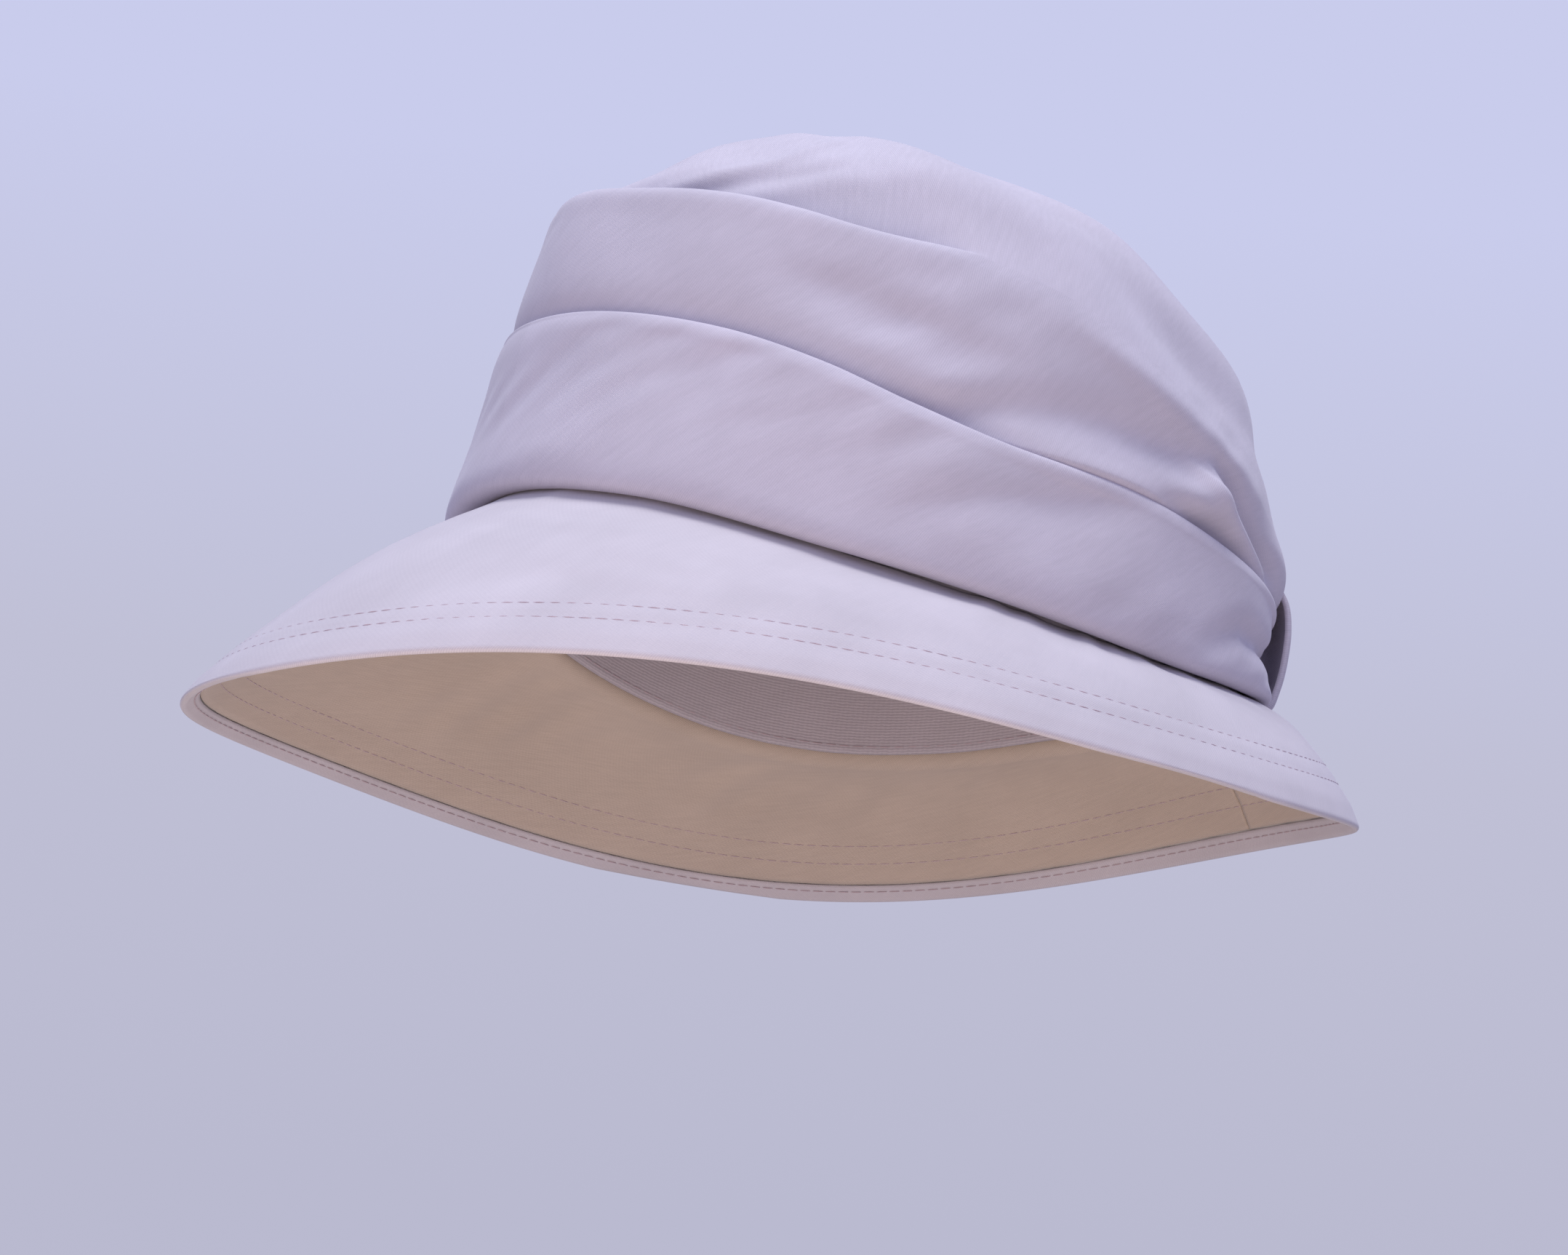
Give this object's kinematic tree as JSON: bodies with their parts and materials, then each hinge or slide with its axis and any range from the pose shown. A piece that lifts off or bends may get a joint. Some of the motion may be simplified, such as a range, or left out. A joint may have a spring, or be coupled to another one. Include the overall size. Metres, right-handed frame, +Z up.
{
  "type": "soft sun hat",
  "caption": "Soft cloche-style sun hat with a draped, folded crown, a back loop and a stitched, turned-down brim.",
  "frame": {"origin": "middle of the hat's footprint, on the surface its brim edge stands on", "axes": "+Z up from the brim edge to the crown, -Y toward the wearer's front, +X toward the wearer's left"},
  "size_m": [0.2386, 0.302, 0.171],
  "materials": {
    "outer_cloth": "fine cotton twill, pale lilac grey",
    "under_cloth": "the same twill in warm shade",
    "stiffener": "matt interlining",
    "lining": "plain light lining",
    "sweatband": "ribbed band",
    "thread": "fine sewing thread, faintly pink",
    "label": "smooth woven tape, blank"
  },
  "bodies": {
    "root": {"brim_top": "outer_cloth", "brim_stiffener": "stiffener", "brim_under": "under_cloth", "stitch_outer_top": "thread", "stitch_inner_top": "thread", "stitch_outer_under": "thread", "stitch_inner_under": "thread", "stitch_hem": "thread", "lower_fold": "outer_cloth", "upper_fold": "outer_cloth", "top_drape": "outer_cloth", "crown_base": "stiffener", "back_loop": "outer_cloth", "lining_side": "lining", "lining_tip": "lining", "sweatband": "sweatband", "sweatband_stitch": "thread", "label": "label"}
  },
  "joints": []
}
